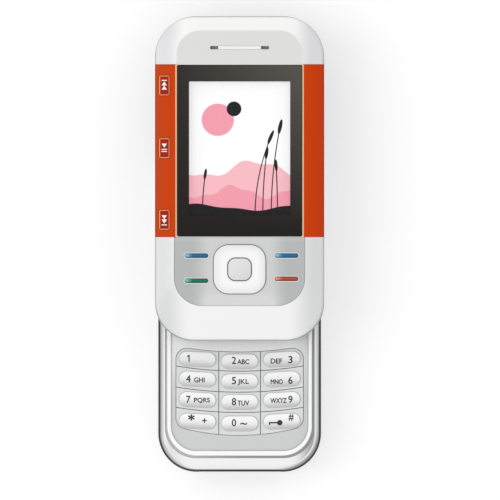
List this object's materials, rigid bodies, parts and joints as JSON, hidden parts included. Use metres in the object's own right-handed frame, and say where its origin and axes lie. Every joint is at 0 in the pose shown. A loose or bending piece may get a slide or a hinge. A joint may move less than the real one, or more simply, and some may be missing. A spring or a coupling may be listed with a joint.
{
  "type": "slider mobile phone",
  "caption": "Slider mobile phone shown open: front half with display and navigation keys over a base with a curved number keypad; keys press and the halves slide shut.",
  "frame": {"origin": "bottom centre of the open phone's bounding box, on the surface its back lies on", "axes": "+Y along the phone towards the earpiece end, +Z out of the screen, +X to the right of the screen"},
  "size_m": [0.0482, 0.13, 0.0207],
  "materials": {
    "silver_shell": "silver lacquer, satin",
    "white_shell": "pearl white, gloss",
    "silver_plate": "silver, satin",
    "silver_key": "silver, satin",
    "white_key": "white, gloss",
    "key_rubber": "matte",
    "circuit_board": "solder mask, satin",
    "battery_wrap": "matte film",
    "steel": "stamped, brushed",
    "screw_steel": "zinc plated",
    "black_plastic": "matte",
    "glide_plastic": "natural, matte",
    "flex_film": "amber film",
    "orange_band": "metallic orange-red, gloss",
    "bright_trim": "bright",
    "dark_window": "clear, polished",
    "display": "display picture",
    "dark_silver": "silver lacquer, satin",
    "blue_key": "gloss",
    "green_key": "gloss",
    "red_key": "gloss"
  },
  "bodies": {
    "base": {"base_rear_housing": "silver_shell", "base_front_frame": "silver_shell", "keypad_bezel": "white_shell", "keypad_plate": "silver_plate", "keypad_mat": "key_rubber", "main_board": "circuit_board", "battery": "battery_wrap", "sim_holder": "steel", "system_connector": "black_plastic", "audio_jack": "black_plastic", "camera_module": "black_plastic", "camera_window": "dark_window", "loudspeaker": "black_plastic", "vibration_motor": "steel", "antenna": "black_plastic", "base_screws": "screw_steel", "runner": "steel", "glide_strips": "glide_plastic", "slide_flex": "flex_film", "assist_spring": "steel"},
    "slide": {"slide_front_cover": "white_shell", "side_band_left": "orange_band", "side_band_right": "orange_band", "earpiece_bar": "bright_trim", "earpiece_speaker": "black_plastic", "screen_window": "dark_window", "display_frame": "black_plastic", "display_module": "display", "nav_panel": "silver_plate", "nav_mat": "key_rubber", "slide_board": "circuit_board", "slide_back_cover": "dark_silver", "slide_plate": "steel", "slide_screws": "screw_steel"},
    "rear_cover": {"battery_cover": "silver_shell"},
    "nav_carrier": {"nav_ring_carrier": "steel"},
    "key_1_body": {"key_1": "silver_key"},
    "key_2_body": {"key_2": "silver_key"},
    "key_3_body": {"key_3": "silver_key"},
    "key_4_body": {"key_4": "silver_key"},
    "key_5_body": {"key_5": "silver_key"},
    "key_6_body": {"key_6": "silver_key"},
    "key_7_body": {"key_7": "silver_key"},
    "key_8_body": {"key_8": "silver_key"},
    "key_9_body": {"key_9": "silver_key"},
    "key_star_body": {"key_star": "silver_key"},
    "key_0_body": {"key_0": "silver_key"},
    "key_hash_body": {"key_hash": "silver_key"},
    "previous_key_body": {"previous_key": "orange_band"},
    "play_key_body": {"play_key": "orange_band"},
    "next_key_body": {"next_key": "orange_band"},
    "soft_key_left_body": {"soft_key_left": "blue_key"},
    "soft_key_right_body": {"soft_key_right": "blue_key"},
    "call_key_body": {"call_key": "green_key"},
    "end_key_body": {"end_key": "red_key"},
    "nav_centre_key_body": {"nav_centre_key": "silver_key"},
    "camera_key_body": {"camera_key": "silver_key"},
    "power_key_body": {"power_key": "silver_key"},
    "nav_ring_body": {"nav_ring": "white_key"},
    "volume_rocker_body": {"volume_rocker": "silver_key"}
  },
  "joints": [
    {"name": "slide_travel", "type": "slide", "parent": "base", "child": "slide", "axis": [0, -1, 0], "range_m": [0, 0.0376]},
    {"name": "rear_cover_travel", "type": "slide", "parent": "base", "child": "rear_cover", "axis": [0, -1, 0], "range_m": [0, 0.003]},
    {"name": "key_1_press", "type": "slide", "parent": "base", "child": "key_1_body", "axis": [0, 0, -1], "range_m": [0, 0.0003], "stiffness_N_per_m": 800},
    {"name": "key_2_press", "type": "slide", "parent": "base", "child": "key_2_body", "axis": [0, 0, -1], "range_m": [0, 0.0003], "stiffness_N_per_m": 800},
    {"name": "key_3_press", "type": "slide", "parent": "base", "child": "key_3_body", "axis": [0, 0, -1], "range_m": [0, 0.0003], "stiffness_N_per_m": 800},
    {"name": "key_4_press", "type": "slide", "parent": "base", "child": "key_4_body", "axis": [0, 0, -1], "range_m": [0, 0.0003], "stiffness_N_per_m": 800},
    {"name": "key_5_press", "type": "slide", "parent": "base", "child": "key_5_body", "axis": [0, 0, -1], "range_m": [0, 0.0003], "stiffness_N_per_m": 800},
    {"name": "key_6_press", "type": "slide", "parent": "base", "child": "key_6_body", "axis": [0, 0, -1], "range_m": [0, 0.0003], "stiffness_N_per_m": 800},
    {"name": "key_7_press", "type": "slide", "parent": "base", "child": "key_7_body", "axis": [0, 0, -1], "range_m": [0, 0.0003], "stiffness_N_per_m": 800},
    {"name": "key_8_press", "type": "slide", "parent": "base", "child": "key_8_body", "axis": [0, 0, -1], "range_m": [0, 0.0003], "stiffness_N_per_m": 800},
    {"name": "key_9_press", "type": "slide", "parent": "base", "child": "key_9_body", "axis": [0, 0, -1], "range_m": [0, 0.0003], "stiffness_N_per_m": 800},
    {"name": "key_star_press", "type": "slide", "parent": "base", "child": "key_star_body", "axis": [0, 0, -1], "range_m": [0, 0.0003], "stiffness_N_per_m": 800},
    {"name": "key_0_press", "type": "slide", "parent": "base", "child": "key_0_body", "axis": [0, 0, -1], "range_m": [0, 0.0003], "stiffness_N_per_m": 800},
    {"name": "key_hash_press", "type": "slide", "parent": "base", "child": "key_hash_body", "axis": [0, 0, -1], "range_m": [0, 0.0003], "stiffness_N_per_m": 800},
    {"name": "previous_key_press", "type": "slide", "parent": "slide", "child": "previous_key_body", "axis": [0.237, 0, -0.9715], "range_m": [0, 0.0003], "stiffness_N_per_m": 800},
    {"name": "play_key_press", "type": "slide", "parent": "slide", "child": "play_key_body", "axis": [0.237, 0, -0.9715], "range_m": [0, 0.0003], "stiffness_N_per_m": 800},
    {"name": "next_key_press", "type": "slide", "parent": "slide", "child": "next_key_body", "axis": [0.237, 0, -0.9715], "range_m": [0, 0.0003], "stiffness_N_per_m": 800},
    {"name": "soft_key_left_press", "type": "slide", "parent": "slide", "child": "soft_key_left_body", "axis": [0, 0, -1], "range_m": [0, 0.0003], "stiffness_N_per_m": 800},
    {"name": "soft_key_right_press", "type": "slide", "parent": "slide", "child": "soft_key_right_body", "axis": [0, 0, -1], "range_m": [0, 0.0003], "stiffness_N_per_m": 800},
    {"name": "call_key_press", "type": "slide", "parent": "slide", "child": "call_key_body", "axis": [0, 0, -1], "range_m": [0, 0.0003], "stiffness_N_per_m": 800},
    {"name": "end_key_press", "type": "slide", "parent": "slide", "child": "end_key_body", "axis": [0, 0, -1], "range_m": [0, 0.0003], "stiffness_N_per_m": 800},
    {"name": "nav_centre_key_press", "type": "slide", "parent": "slide", "child": "nav_centre_key_body", "axis": [0, 0, -1], "range_m": [0, 0.0003], "stiffness_N_per_m": 800},
    {"name": "camera_key_press", "type": "slide", "parent": "base", "child": "camera_key_body", "axis": [-1, 0, 0], "range_m": [0, 0.0003], "stiffness_N_per_m": 800},
    {"name": "power_key_press", "type": "slide", "parent": "base", "child": "power_key_body", "axis": [0, -1, 0], "range_m": [0, 0.0003], "stiffness_N_per_m": 800},
    {"name": "nav_ring_tilt_sideways", "type": "hinge", "parent": "slide", "child": "nav_carrier", "pos_m": [0, -0.0071, 0.019], "axis": [0, 1, 0], "range_deg": [-1.4, 1.4], "stiffness_Nm_per_rad": 0.1},
    {"name": "nav_ring_tilt_lengthways", "type": "hinge", "parent": "nav_carrier", "child": "nav_ring_body", "pos_m": [0, -0.0071, 0.019], "axis": [1, 0, 0], "range_deg": [-1.4, 1.4], "stiffness_Nm_per_rad": 0.1},
    {"name": "volume_rocker_tilt", "type": "hinge", "parent": "base", "child": "volume_rocker_body", "pos_m": [0.0215, 0.006, 0.005], "axis": [0, 0, 1], "range_deg": [-1.8, 1.8], "stiffness_Nm_per_rad": 0.1}
  ]
}
